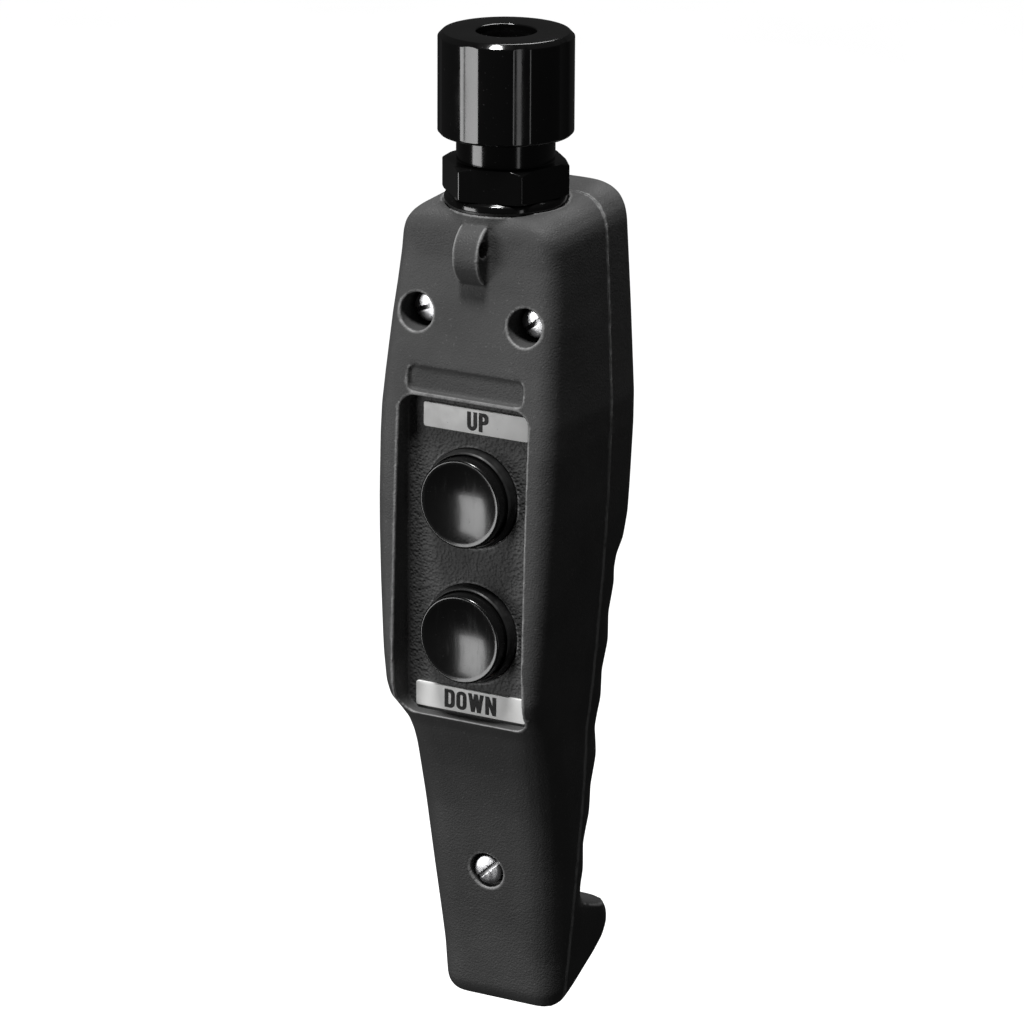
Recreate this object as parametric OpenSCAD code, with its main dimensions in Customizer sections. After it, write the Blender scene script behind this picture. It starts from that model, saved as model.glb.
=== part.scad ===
// Two-button pendant control station with a hand grip.
// Origin: centre of the cable entry at the top of the cord connector. +Z up along the
// cable, -Y is the button side, +X to the right as the buttons are faced. Millimetres.

/* [Housing] */
// Height of the housing from its top face to its foot
housing_h = 247; // [245:1:249]
// Half the width of the housing at the buttons
housing_half_w = 29.4; // [29:0.1:29.8]
// Wall thickness of both covers
wall = 3; // [2.4:0.1:3.2]
// Height of the finger ribs above and below the grip's surface
rib_h = 0.8; // [0.3:0.1:1]
// Pitch of the finger ribs
rib_pitch = 17.7; // [17:0.1:18]

/* [Support lug] */
// Thickness of the lug across the housing
lug_t = 8.6; // [7:0.1:10]
// Diameter of the cross hole for the support wire
lug_hole_d = 4.6; // [3.5:0.1:5]

/* [Buttons] */
// Diameter of the panel holes
button_hole_d = 29.7; // [29.7:0.1:29.8]
// Distance between the two button axes
button_pitch = 41; // [40:0.5:42]
// How far a button travels when pressed
button_travel = 4; // [2:0.5:4]
// Diameter of the button cap
cap_d = 26.6; // [26.6:0.1:26.7]

/* [Cord connector] */
// Diameter of the compression nut
nut_d = 39.2; // [38.8:0.1:40]
// Diameter of the hole that the cable enters by
entry_d = 17.4; // [16.4:0.1:17.8]
// Diameter of the grommet's bore at rest
grommet_bore_d = 15; // [12:0.5:16]
// Hexagon of the connector's body, across flats
hex_af = 33; // [32:0.5:33.5]

/* [Hidden] */
$fn = 64;
eps = 0.01;

// Colours
moulding = [0.13, 0.13, 0.14];
gloss_black = [0.05, 0.05, 0.05];
rubber = [0.09, 0.09, 0.09];
steel = [0.72, 0.73, 0.74];
brass = [0.78, 0.62, 0.3];
copper = [0.78, 0.45, 0.3];
phenolic = [0.3, 0.17, 0.1];
white = [0.92, 0.92, 0.9];

// Levels along the cable axis, all below the origin
nut_h = 29.7;
grommet_top_z = -6;
grommet_bottom_z = -23;
neck_top_z = -9;
hex_top_z = -37.3;
hex_bottom_z = -46.9;
housing_top_z = -48.8;
flange_bottom_z = -49.6;
seat_z = -50.2;
spigot_bottom_z = -61;

// Radii and walls of the cord connector's seat
top_wall = 4;
seat_r = 17.6;
flange_r = 17.9;
spigot_r = 10.6;
entry_hole_r = spigot_r + 0.1;
grommet_r = 11;
neck_inner_r = 14.4;

// Housing outline as [depth below the housing's top, value]
front_table = [
    [0, -17.2], [18, -17.6], [34, -20.6], [51, -23], [63, -24.4], [91, -26], [133, -27.6],
    [147, -27], [155.5, -20], [168, -16], [183, -12.6], [204, -9.4], [222, -6.6], [247, -3.4]
];
rear_table = [
    [0, 30.8], [65, 30], [101, 27.4], [104, 26.2], [107.5, 23], [124, 22], [148, 20],
    [166, 19.2], [178, 18], [190, 15.8], [208, 14.6], [216, 15], [218.5, 27], [221, 31.4],
    [227, 33.2], [232, 30.6], [237.5, 21.5], [241, 15.5], [247, 7]
];
side_table = [
    [0, 25.2], [18, 26.6], [34, 27.7], [51, 28.7], [63, 29.4], [91, 29], [111, 28.1],
    [133, 26.7], [147, 25.6], [159, 24.2], [168, 24.2], [183, 23.6], [204, 22.3],
    [222, 21.1], [247, 19.2]
];
front_corner_table = [[0, 5], [143, 5], [163, 11], [247, 9]];
rear_corner_table = [[0, 7], [100, 7], [112, 9], [247, 8]];
top_side_r = 9;
top_front_r = 6;
top_rear_r = 4;
top_slope = 0.06;
top_slope_depth = 22;
foot_edge_r = 5.5;
first_rib_d = 116.5;
rib_count = 6;
seam_top_y = 13.6;
seam_foot_y = 3.5;
seam_gap = 0.06;
least_rear_depth = 1.4;
corner_steps = 5;
inner_corner_steps = 2;
band_steps = 32;

// Smoothed value of an outline table at depth d
function smooth(d, table) =
    (lookup(d - 1.5, table) + 2 * lookup(d, table) + lookup(d + 1.5, table)) / 4;
function edge_inset(d, r) = d < r ? r - sqrt(r * r - (r - d) * (r - d)) : 0;
function end_inset(d, top_r) = edge_inset(d, top_r) + edge_inset(housing_h - d, foot_edge_r);
function top_lift(d, y) = top_slope * y * max(0, 1 - d / top_slope_depth);
function on_ribs(d) =
    d > first_rib_d - rib_pitch / 4 && d < first_rib_d + (rib_count - 0.75) * rib_pitch;
function rib(d) = on_ribs(d) ? rib_h * cos(360 * (d - first_rib_d) / rib_pitch) : 0;
function side_x(d) = smooth(d, side_table) * housing_half_w / 29.4 - end_inset(d, top_side_r);
function front_y(d) = smooth(d, front_table) + end_inset(d, top_front_r);
function rear_y(d) = smooth(d, rear_table) - end_inset(d, top_rear_r);
function seam_y(d) = seam_top_y + (seam_foot_y - seam_top_y) * d / housing_h;
function depth_of(z) = housing_top_z - z;
function arc(x, y, r, from, steps) =
    [for (k = [0 : steps]) [x + r * cos(from + 90 * k / steps), y + r * sin(from + 90 * k / steps)]];

// Closed rings of the front and rear halves at depth d, pulled in by inset
function front_ring(d, inset, past_seam, steps) =
    let (
        x = side_x(d) - inset,
        y = front_y(d) + inset,
        seam = seam_y(d) + past_seam,
        r = min(max(lookup(d, front_corner_table) - inset, 1), seam - y - 0.3)
    )
    concat([[-x, seam]], arc(-x + r, y + r, r, 180, steps), arc(x - r, y + r, r, 270, steps),
        [[x, seam]]);
function rear_ring(d, inset, past_seam, steps, with_ribs) =
    let (
        x = side_x(d) - inset,
        seam = seam_y(d) + seam_gap - past_seam,
        y = max(rear_y(d) - inset + (with_ribs ? rib(d) : 0), seam + least_rear_depth),
        r = min(max(lookup(d, rear_corner_table) - inset, 1), y - seam - 0.3)
    )
    concat([[x, seam]], arc(x - r, y - r, r, 0, steps), arc(-x + r, y - r, r, 90, steps),
        [[-x, seam]]);
function band_ring(d, inset, back, ahead) =
    let (x = side_x(d) - inset, seam = seam_y(d))
    [[-x, seam - ahead], [x, seam - ahead], [x, seam + back], [-x, seam + back]];

// Depths at which the outer skin, the cavity and the gasket are drawn
skin_depths = concat(
    [0, 0.5, 1.6, 3.4, 6, 9], [for (d = [15 : 9 : 99]) d], [103.5],
    [for (d = [107.65 : rib_pitch / 4 : 210]) d],
    [213, 215, 217.5, 220, 223, 227, 231, 235, 238.5],
    [for (k = [0 : 4]) housing_h - foot_edge_r * (1 - sin(22.5 * k))]
);
cavity_depths = concat(
    [top_wall], [for (d = skin_depths) if (d > top_wall && d < housing_h - 6) d],
    [housing_h - 5]
);

// Depths for the gasket, closer together towards both rounded ends
function band_depths(top, foot) =
    [for (k = [0 : band_steps]) top + (housing_h - top - foot) * (1 - cos(180 * k / band_steps)) / 2];

// Solid through a list of rings, one at each depth. A sloped one follows the top face.
module loft(rings, depths, sloped = false) {
    count = len(rings[0]);
    last = len(rings) - 1;
    points = [
        for (i = [0 : last]) for (p = rings[i])
            [p[0], p[1], housing_top_z - depths[i] + (sloped ? top_lift(depths[i], p[1]) : 0)]
    ];
    top_cap = [for (j = [count - 1 : -1 : 0]) j];
    bottom_cap = [for (j = [0 : count - 1]) last * count + j];
    sides = [
        for (i = [0 : last - 1]) for (j = [0 : count - 1])
            let (next = (j + 1) % count)
            [i * count + j, i * count + next, (i + 1) * count + next, (i + 1) * count + j]
    ];
    polyhedron(points, concat([top_cap], sides, [bottom_cap]), convexity = 8);
}

// Button positions and levels along Y
up_z = -134.2;
down_z = up_z - button_pitch;
recess_top_z = -104.5;
recess_bottom_z = -201;
recess_half_w = 21.4;
recess_r = 5;
recess_y = -18.4;
panel_t = 3;
panel_back_y = recess_y + panel_t;
cap_rim_y = recess_y - 7.5;
cap_inside_y = -21.5;
cap_back_y = -11.5;
cap_dish = 2.2;
cap_inner_r = 11.3;
boot_front_y = -21.6;
boot_back_y = -17.2;
guide_web_y = -6.4;
guide_back_y = -3.4;
guide_r = button_hole_d / 2 - 0.1;
guide_bore_r = cap_d / 2 + 0.1;
guide_nut_r = 17.5;
plunger_r = 3.5;
plunger_tip_r = 1.5;
plate_y = 0;
plate_t = 1.5;
plate_half_w = 20;
plate_r = 3;
plate_margin = 4;
block_y = plate_y + plate_t;
block_depth = 16;
bridge_y = 5;
bridge_t = 1.2;
fixed_contact_y = bridge_y + bridge_t + button_travel + 0.1;
contact_t = 1.2;
terminal_x = 15;

// Screws and their bosses
screw_x = 17.8;
upper_screw_z = -80.6;
lower_screw_z = -251.5;
upper_seat_y = -11;
lower_seat_y = -6;
head_r = 4.4;
head_h = 3;
counterbore_r = 5.5;
screw_r = 2;
screw_hole_r = 2.25;
boss_r = 6.5;
boss_fn = 20;
insert_r = 2.9;
insert_gap = 0.4;
standoff_r = 3.5;
standoffs = [[16.5, -112.5], [15.5, -197.5]];
plate_screw_hole_r = 1.4;
earth_x = 12;
earth_z = (up_z + down_z) / 2;
earth_hole_r = 1.6;
earth_clamp_t = 1.2;
block_screw_r = 1.3;
block_screw_hole_r = 1.4;
terminal_screw_r = 1.5;
long_insert = 9;
short_insert = 6;
block_head_y = block_y + 13;
block_screw_z = 11.2;

// Cylinder along +Y from y
module y_rod(r, y, length, x = 0, z = 0, fn = $fn) {
    translate([x, y, z]) rotate([-90, 0, 0]) cylinder(r = r, h = length, $fn = fn);
}

// Body turned about the Y axis from an outline of [radius, y] points
module y_turned(z, outline) {
    translate([0, 0, z]) rotate([-90, 0, 0]) rotate_extrude() polygon(outline);
}

// Block with rounded corners, its depth along +Y from y
module y_slab(half_w, bottom_z, top_z, r, y, depth) {
    translate([0, y + depth, 0]) rotate([90, 0, 0]) linear_extrude(depth) {
        translate([-half_w + r, bottom_z]) square([2 * (half_w - r), top_z - bottom_z]);
        translate([-half_w, bottom_z + r]) square([2 * half_w, top_z - bottom_z - 2 * r]);
        for (x = [-half_w + r, half_w - r], z = [bottom_z + r, top_z - r])
            translate([x, z]) circle(r);
    }
}

module box_from(low, high) {
    translate(low) cube(high - low);
}

// Slotted screw with its head at the front, shank towards +Y
module slotted_screw(x, z, seat_y, length, angle) {
    slot_w = 1.3;
    slot_depth = 1.4;
    translate([x, seat_y, z]) rotate([0, angle, 0]) difference() {
        union() {
            y_rod(head_r, -head_h, head_h);
            y_rod(screw_r, -eps, length + eps);
        }
        box_from([-head_r - 1, -head_h - 1, -slot_w / 2], [head_r + 1, -head_h + slot_depth, slot_w / 2]);
    }
}

// Small pan-head screw with its head at the back, shank towards -Y
module back_screw(x, z, seat_y, length, shank_r, rear_head_r, rear_head_h) {
    slot_w = 0.8;
    slot_depth = 0.8;
    difference() {
        union() {
            y_rod(rear_head_r, seat_y, rear_head_h, x, z);
            y_rod(shank_r, seat_y - length, length + eps, x, z);
        }
        box_from([x - rear_head_r - 1, seat_y + rear_head_h - slot_depth, z - slot_w / 2],
            [x + rear_head_r + 1, seat_y + rear_head_h + 1, z + slot_w / 2]);
    }
}

module lug_outline() {
    lug_r = 9.7;
    lug_y = -13.7;
    lug_z = -62.1;
    translate([-lug_t / 2, lug_y, lug_z]) rotate([0, 90, 0]) cylinder(r = lug_r, h = lug_t);
}

module lug_hole() {
    hole_y = -19.7;
    hole_z = -59.5;
    length = lug_t + 0.2;
    translate([-length / 2, hole_y, hole_z]) rotate([0, 90, 0]) cylinder(d = lug_hole_d, h = length);
}

// Closed band along the front cover's edge, its back face this far past the seam. Its top
// runs between the connector's seat and the cavity.
module gasket_band(past_seam) {
    outer_inset = 0.9;
    gasket_t = 1.2;
    inner_inset = outer_inset + gasket_t;
    top_inset = housing_top_z - seat_z + 0.7;
    outer_depths = band_depths(top_inset, outer_inset);
    inner_depths = band_depths(top_inset + gasket_t, inner_inset);
    difference() {
        loft([for (d = outer_depths) band_ring(d, outer_inset, past_seam, gasket_t)], outer_depths);
        loft([for (d = inner_depths) band_ring(d, inner_inset, 1, gasket_t + 1)], inner_depths);
    }
}

// Joins its children into one faceted body
module faceted() {
    resize([0, 0, 0]) children();
}

// Clear space over the cord connector's flat seat in the sloping top
module gland_seat() {
    clearance = 0.3;
    translate([0, 0, seat_z]) cylinder(r = flange_r + clearance, h = 10);
}

// Block under the seat, which fills the rounded top edge in front of the connector
module seat_block() {
    block_h = 8;
    translate([0, 0, seat_z - block_h]) intersection() {
        cylinder(r = seat_r, h = block_h);
        box_from([-seat_r, -seat_r, 0], [seat_r, 10, block_h]);
    }
}

// Shallow panel over the recess, left plain
module nameplate_recess() {
    half_w = 19;
    bottom_z = -103.2;
    top_z = -95.8;
    corner_r = 2;
    floor_y = -21.7;
    y_slab(half_w, bottom_z, top_z, corner_r, floor_y - 10, 10);
}

// Hollow of the front cover, with its bosses, standoffs and button pocket left standing
module front_cavity() {
    pocket_wall = 2.4;
    difference() {
        loft([for (d = cavity_depths) front_ring(d, wall, 0.5, inner_corner_steps)], cavity_depths);
        box_from([-recess_half_w - pocket_wall, -40, recess_bottom_z - pocket_wall],
            [recess_half_w + pocket_wall, panel_back_y, recess_top_z + pocket_wall]);
        for (side = [-1, 1]) {
            y_rod(boss_r, -30, 60, side * screw_x, upper_screw_z, boss_fn);
            for (s = standoffs) y_rod(standoff_r, -30, 30 + plate_y, side * s[0], s[1], boss_fn);
        }
        y_rod(boss_r, -30, 60, 0, lower_screw_z, boss_fn);
    }
}

module front_shell() {
    groove_past_seam = 0.5;
    difference() {
        union() {
            loft([for (d = skin_depths) front_ring(d, 0, 0, corner_steps)], skin_depths, true);
            lug_outline();
            seat_block();
        }
        gland_seat();
        front_cavity();
        gasket_band(groove_past_seam);
        y_slab(recess_half_w, recess_bottom_z, recess_top_z, recess_r, recess_y - 20, 20);
        nameplate_recess();
    }
}

module front_cover() {
    thread_hole_r = 1.3;
    thread_hole_depth = 9;
    color(moulding) difference() {
        faceted() front_shell();
        lug_hole();
        translate([0, 0, housing_top_z - top_wall - 1]) cylinder(r = entry_hole_r, h = top_wall + 2);
        for (z = [up_z, down_z]) y_rod(button_hole_d / 2, recess_y - 1, panel_t + 2, 0, z);
        for (side = [-1, 1]) {
            y_rod(counterbore_r, -30, 30 + upper_seat_y, side * screw_x, upper_screw_z);
            y_rod(screw_hole_r, upper_seat_y - 1, 30, side * screw_x, upper_screw_z);
            for (s = standoffs)
                y_rod(thread_hole_r, plate_y - thread_hole_depth, thread_hole_depth + 3, side * s[0], s[1]);
        }
        y_rod(counterbore_r, -20, 20 + lower_seat_y, 0, lower_screw_z);
        y_rod(screw_hole_r, lower_seat_y - 1, 20, 0, lower_screw_z);
    }
}

// Hollow of the rear cover, with its bosses left standing
module rear_cavity() {
    difference() {
        loft([for (d = cavity_depths) rear_ring(d, wall, 0.5, inner_corner_steps, false)],
            cavity_depths);
        for (side = [-1, 1]) y_rod(boss_r, 0, 40, side * screw_x, upper_screw_z, boss_fn);
        y_rod(boss_r, 0, 40, 0, lower_screw_z, boss_fn);
    }
}

module rear_cover() {
    color(moulding) difference() {
        faceted() difference() {
            loft([for (d = skin_depths) rear_ring(d, 0, 0, corner_steps, true)], skin_depths, true);
            rear_cavity();
            gland_seat();
        }
        for (side = [-1, 1])
            y_rod(insert_r, 0, insert_end(upper_screw_z), side * screw_x, upper_screw_z);
        y_rod(insert_r, 0, insert_end(lower_screw_z), 0, lower_screw_z);
    }
}

function insert_start(z) = seam_y(depth_of(z)) + insert_gap;
function insert_length(z) = z == lower_screw_z ? short_insert : long_insert;
function insert_end(z) = insert_start(z) + insert_length(z);

module cover_gasket() {
    color(rubber) gasket_band(0);
}

module upper_cover_screws() {
    length = insert_end(upper_screw_z) - upper_seat_y - 1;
    color(steel) {
        slotted_screw(-screw_x, upper_screw_z, upper_seat_y, length, -20);
        slotted_screw(screw_x, upper_screw_z, upper_seat_y, length, -35);
    }
}

module lower_cover_screw() {
    length = insert_end(lower_screw_z) - lower_seat_y - 1;
    color(steel) slotted_screw(0, lower_screw_z, lower_seat_y, length, -42);
}

module threaded_insert(x, z) {
    difference() {
        y_rod(insert_r, insert_start(z), insert_length(z), x, z);
        y_rod(screw_r + 0.05, insert_start(z) - 1, insert_length(z) + 2, x, z);
    }
}

module threaded_inserts() {
    color(brass) {
        for (side = [-1, 1]) threaded_insert(side * screw_x, upper_screw_z);
        threaded_insert(0, lower_screw_z);
    }
}

module gland_nut() {
    r = nut_d / 2;
    chamfer = 1.4;
    lip = 4;
    foot_chamfer = 0.8;
    flute_r = 25;
    flute_depth = 0.3;
    flute_turn = -2;
    flute_count = 8;
    color(gloss_black) difference() {
        rotate_extrude() polygon([
            [entry_d / 2, 0], [r - chamfer, 0], [r, -chamfer], [r, -nut_h + foot_chamfer],
            [r - foot_chamfer, -nut_h], [neck_inner_r, -nut_h], [neck_inner_r, -lip], [entry_d / 2, -lip]
        ]);
        for (k = [0 : flute_count - 1])
            rotate([0, 0, flute_turn + k * 360 / flute_count])
                translate([r - flute_depth + flute_r, 0, -nut_h - 1])
                    cylinder(r = flute_r, h = nut_h + 2);
    }
}

module hexagon() {
    turn = 14;
    corner_r = 19.2;
    chamfer_r = 17.6;
    intersection() {
        translate([0, 0, hex_bottom_z]) rotate([0, 0, turn])
            cylinder(d = hex_af / cos(30), h = hex_top_z - hex_bottom_z, $fn = 6);
        rotate_extrude() polygon([
            [0, hex_top_z], [chamfer_r, hex_top_z], [corner_r, hex_top_z - 1],
            [corner_r, hex_bottom_z], [0, hex_bottom_z]
        ]);
    }
}

module gland_body() {
    bore_r = 8.4;
    neck_r = 14.3;
    color(gloss_black) difference() {
        union() {
            translate([0, 0, hex_top_z - eps]) cylinder(r = neck_r, h = neck_top_z - hex_top_z + eps);
            hexagon();
            translate([0, 0, flange_bottom_z])
                cylinder(r = flange_r, h = hex_bottom_z - flange_bottom_z + eps);
            translate([0, 0, spigot_bottom_z])
                cylinder(r = spigot_r, h = flange_bottom_z - spigot_bottom_z + eps);
        }
        translate([0, 0, spigot_bottom_z - 3]) cylinder(r = bore_r, h = -spigot_bottom_z + 3);
        translate([0, 0, grommet_bottom_z]) cylinder(r = grommet_r, h = -grommet_bottom_z);
    }
}

module gland_sealing_ring() {
    inset = 0.7;
    color(rubber) translate([0, 0, seat_z]) difference() {
        cylinder(r = flange_r - inset, h = flange_bottom_z - seat_z);
        translate([0, 0, -1]) cylinder(r = entry_hole_r, h = 4);
    }
}

module gland_grommet() {
    height = grommet_top_z - grommet_bottom_z;
    color(rubber) translate([0, 0, grommet_bottom_z]) difference() {
        cylinder(r = grommet_r, h = height);
        translate([0, 0, -1]) cylinder(d = grommet_bore_d, h = height + 2);
    }
}

module gland_slip_washer() {
    washer_r = 13;
    washer_t = 1.5;
    hole_r = 8.9;
    color(steel) translate([0, 0, grommet_top_z]) difference() {
        cylinder(r = washer_r, h = washer_t);
        translate([0, 0, -1]) cylinder(r = hole_r, h = washer_t + 2);
    }
}

module gland_locknut() {
    nut_r = 13.2;
    nut_t = 3.6;
    notch_r = 1.4;
    notch_count = 6;
    color(steel) translate([0, 0, housing_top_z - top_wall - nut_t]) difference() {
        cylinder(r = nut_r, h = nut_t);
        translate([0, 0, -1]) cylinder(r = spigot_r + 0.05, h = nut_t + 2);
        for (k = [0 : notch_count - 1])
            rotate([0, 0, k * 360 / notch_count]) translate([nut_r + 0.2, 0, -1])
                cylinder(r = notch_r, h = nut_t + 2);
    }
}

module label_plate(x, z, half_w) {
    label_h = 7.4;
    label_t = 0.8;
    corner_r = 0.8;
    color(white) translate([x, 0, z])
        y_slab(half_w, -label_h / 2, label_h / 2, corner_r, recess_y - label_t, label_t);
}

module up_label() {
    label_x = 1.5;
    label_z = -110.9;
    label_half_w = 17.4;
    label_plate(label_x, label_z, label_half_w);
}

module down_label() {
    label_z = -196.2;
    label_half_w = 18.4;
    label_plate(0, label_z, label_half_w);
}

module button_cap(z) {
    r = cap_d / 2;
    color(gloss_black) y_turned(z, [
        [0, cap_rim_y + cap_dish], [4, cap_rim_y + 0.93 * cap_dish], [8, cap_rim_y + 0.66 * cap_dish],
        [r - 1.2, cap_rim_y + 0.15], [r - 0.6, cap_rim_y], [r, cap_rim_y + 0.7],
        [r, cap_back_y], [cap_inner_r, cap_back_y], [cap_inner_r, cap_inside_y], [0, cap_inside_y]
    ]);
}

module up_button_cap() {
    button_cap(up_z);
}

module down_button_cap() {
    button_cap(down_z);
}

module button_boot(z) {
    inner_r = cap_d / 2 + 0.35;
    color(rubber) y_turned(z, [
        [inner_r, boot_back_y], [inner_r, boot_front_y + 0.3], [inner_r + 0.35, boot_front_y],
        [inner_r + 0.7, boot_front_y + 0.5], [guide_r, boot_front_y + 2], [guide_r, boot_back_y]
    ]);
}

module up_button_boot() {
    button_boot(up_z);
}

module down_button_boot() {
    button_boot(down_z);
}

module button_guide(z) {
    color(phenolic) y_turned(z, [
        [guide_bore_r, boot_back_y], [guide_r, boot_back_y], [guide_r, guide_back_y],
        [plunger_r + 0.06, guide_back_y], [plunger_r + 0.06, guide_web_y], [guide_bore_r, guide_web_y]
    ]);
}

module up_button_guide() {
    button_guide(up_z);
}

module down_button_guide() {
    button_guide(down_z);
}

module guide_nut(z) {
    nut_t = 4;
    notch_count = 8;
    notch_r = 1.6;
    notch_centre_r = 17.9;
    color(steel) difference() {
        y_rod(guide_nut_r, panel_back_y, nut_t, 0, z);
        y_rod(guide_r + 0.03, panel_back_y - 1, nut_t + 2, 0, z);
        for (k = [0 : notch_count - 1]) {
            angle = k * 360 / notch_count;
            y_rod(notch_r, panel_back_y - 1, nut_t + 2,
                notch_centre_r * cos(angle), z + notch_centre_r * sin(angle));
        }
    }
}

module up_guide_nut() {
    guide_nut(up_z);
}

module down_guide_nut() {
    guide_nut(down_z);
}

module plunger(z) {
    color(phenolic) {
        y_rod(plunger_r, cap_inside_y, bridge_y - cap_inside_y, 0, z);
        y_rod(plunger_tip_r, bridge_y - eps, bridge_t + 1 + eps, 0, z);
    }
}

module up_plunger() {
    plunger(up_z);
}

module down_plunger() {
    plunger(down_z);
}

module return_spring(z) {
    wire_r = 0.65;
    coil_r = 6;
    turns = 5;
    steps = 14;
    sides = 6;
    gap = 0.15;
    from_y = cap_inside_y + wire_r + gap;
    length = guide_web_y - wire_r - gap - from_y;
    last = turns * steps;
    points = [
        for (i = [0 : last]) for (j = [0 : sides - 1])
            let (turn = 360 * i / steps, side = 360 * j / sides, r = coil_r + wire_r * cos(side))
            [r * cos(turn), from_y + length * i / last + wire_r * sin(side), z + r * sin(turn)]
    ];
    skin = [
        for (i = [0 : last - 1]) for (j = [0 : sides - 1])
            let (next = (j + 1) % sides)
            [i * sides + j, i * sides + next, (i + 1) * sides + next, (i + 1) * sides + j]
    ];
    first_cap = [for (j = [sides - 1 : -1 : 0]) j];
    last_cap = [for (j = [0 : sides - 1]) last * sides + j];
    color(steel) polyhedron(points, concat([first_cap], skin, [last_cap]), convexity = 8);
}

module up_return_spring() {
    return_spring(up_z);
}

module down_return_spring() {
    return_spring(down_z);
}

module contact_block(z) {
    half_w = 11;
    half_h = 14;
    skin = 1.8;
    slot_half_h = 5;
    ear_x = 19;
    ear_y = 4.5;
    ear_half_h = 4;
    groove_half_h = 3;
    head_pocket_r = 2.6;
    head_pocket_depth = 5;
    color(phenolic) translate([0, 0, z]) difference() {
        union() {
            box_from([-half_w, block_y, -half_h], [half_w, block_y + block_depth, half_h]);
            box_from([-ear_x, ear_y, -ear_half_h], [ear_x, fixed_contact_y, ear_half_h]);
        }
        box_from([-half_w + skin, block_y + skin, -slot_half_h],
            [half_w - skin, block_y + block_depth - skin, slot_half_h]);
        box_from([-ear_x - 1, fixed_contact_y, -groove_half_h],
            [ear_x + 1, fixed_contact_y + contact_t, groove_half_h]);
        y_rod(plunger_r + 0.5, block_y - 1, skin + 2);
        for (side = [-1, 1]) {
            y_rod(terminal_screw_r + 0.05, ear_y - 1, 12, side * terminal_x, 0);
            y_rod(block_screw_hole_r, block_y - 1, block_depth + 2, 0, side * block_screw_z);
            y_rod(head_pocket_r, block_head_y, head_pocket_depth, 0, side * block_screw_z);
        }
    }
}

module up_contact_block() {
    contact_block(up_z);
}

module down_contact_block() {
    contact_block(down_z);
}

module contact_bridge(z) {
    half_w = 8;
    half_h = 3;
    contact_x = 6.2;
    contact_r = 1.6;
    contact_h = 0.05;
    tip_clearance = 0.03;
    color(copper) difference() {
        union() {
            box_from([-half_w, bridge_y, z - half_h], [half_w, bridge_y + bridge_t, z + half_h]);
            for (side = [-1, 1])
                y_rod(contact_r, bridge_y + bridge_t - eps, contact_h, side * contact_x, z);
        }
        y_rod(plunger_tip_r + tip_clearance, bridge_y - 1, bridge_t + 2, 0, z);
    }
}

module up_contact_bridge() {
    contact_bridge(up_z);
}

module down_contact_bridge() {
    contact_bridge(down_z);
}

module fixed_contacts(z) {
    strip_x = 11.75;
    strip_w = 13.5;
    strip_h = 6;
    hole_r = 1.6;
    color(copper) for (side = [-1, 1])
        difference() {
            translate([side * strip_x, fixed_contact_y + contact_t / 2, z])
                cube([strip_w, contact_t, strip_h], center = true);
            y_rod(hole_r, fixed_contact_y - 1, contact_t + 2, side * terminal_x, z);
        }
}

module up_fixed_contacts() {
    fixed_contacts(up_z);
}

module down_fixed_contacts() {
    fixed_contacts(down_z);
}

module terminal_screws(z) {
    length = 6;
    top_r = 2.9;
    top_h = 1.8;
    color(steel) for (side = [-1, 1])
        back_screw(side * terminal_x, z, fixed_contact_y + contact_t, length, terminal_screw_r,
            top_r, top_h);
}

module up_terminal_screws() {
    terminal_screws(up_z);
}

module down_terminal_screws() {
    terminal_screws(down_z);
}

module block_screws(z) {
    length = 14;
    top_r = 2.5;
    top_h = 1.8;
    color(steel) for (side = [-1, 1])
        back_screw(0, z + side * block_screw_z, block_head_y, length, block_screw_r, top_r, top_h);
}

module up_block_screws() {
    block_screws(up_z);
}

module down_block_screws() {
    block_screws(down_z);
}

module mounting_plate() {
    plunger_hole_r = 5;
    top_z = standoffs[0][1] + plate_margin + 0.5;
    bottom_z = standoffs[1][1] - plate_margin;
    color(steel) difference() {
        y_slab(plate_half_w, bottom_z, top_z, plate_r, plate_y, plate_t);
        for (z = [up_z, down_z]) {
            y_rod(plunger_hole_r, plate_y - 1, plate_t + 2, 0, z);
            for (side = [-1, 1])
                y_rod(block_screw_hole_r, plate_y - 1, plate_t + 2, 0, z + side * block_screw_z);
        }
        for (side = [-1, 1], s = standoffs)
            y_rod(plate_screw_hole_r, plate_y - 1, plate_t + 2, side * s[0], s[1]);
        y_rod(earth_hole_r, plate_y - 1, plate_t + 2, earth_x, earth_z);
    }
}

module plate_screws() {
    length = 9;
    shank_r = 1.25;
    top_r = 2.6;
    top_h = 1.6;
    color(steel) for (side = [-1, 1], s = standoffs)
        back_screw(side * s[0], s[1], plate_y + plate_t, length, shank_r, top_r, top_h);
}

module earth_clamp() {
    half_w = 4;
    color(brass) difference() {
        box_from([earth_x - half_w, block_y, earth_z - half_w],
            [earth_x + half_w, block_y + earth_clamp_t, earth_z + half_w]);
        y_rod(earth_hole_r, block_y - 1, earth_clamp_t + 2, earth_x, earth_z);
    }
}

module earth_screw() {
    length = 5;
    shank_r = 1.5;
    top_r = 3.2;
    top_h = 2;
    color(steel)
        back_screw(earth_x, earth_z, block_y + earth_clamp_t, length, shank_r, top_r, top_h);
}

front_cover();
rear_cover();
cover_gasket();
upper_cover_screws();
lower_cover_screw();
threaded_inserts();
gland_nut();
gland_body();
gland_sealing_ring();
gland_grommet();
gland_slip_washer();
gland_locknut();
up_label();
down_label();
up_button_cap();
down_button_cap();
up_button_boot();
down_button_boot();
up_button_guide();
down_button_guide();
up_guide_nut();
down_guide_nut();
up_plunger();
down_plunger();
up_return_spring();
down_return_spring();
up_contact_block();
down_contact_block();
up_contact_bridge();
down_contact_bridge();
up_fixed_contacts();
down_fixed_contacts();
up_terminal_screws();
down_terminal_screws();
up_block_screws();
down_block_screws();
mounting_plate();
plate_screws();
earth_clamp();
earth_screw();
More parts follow.
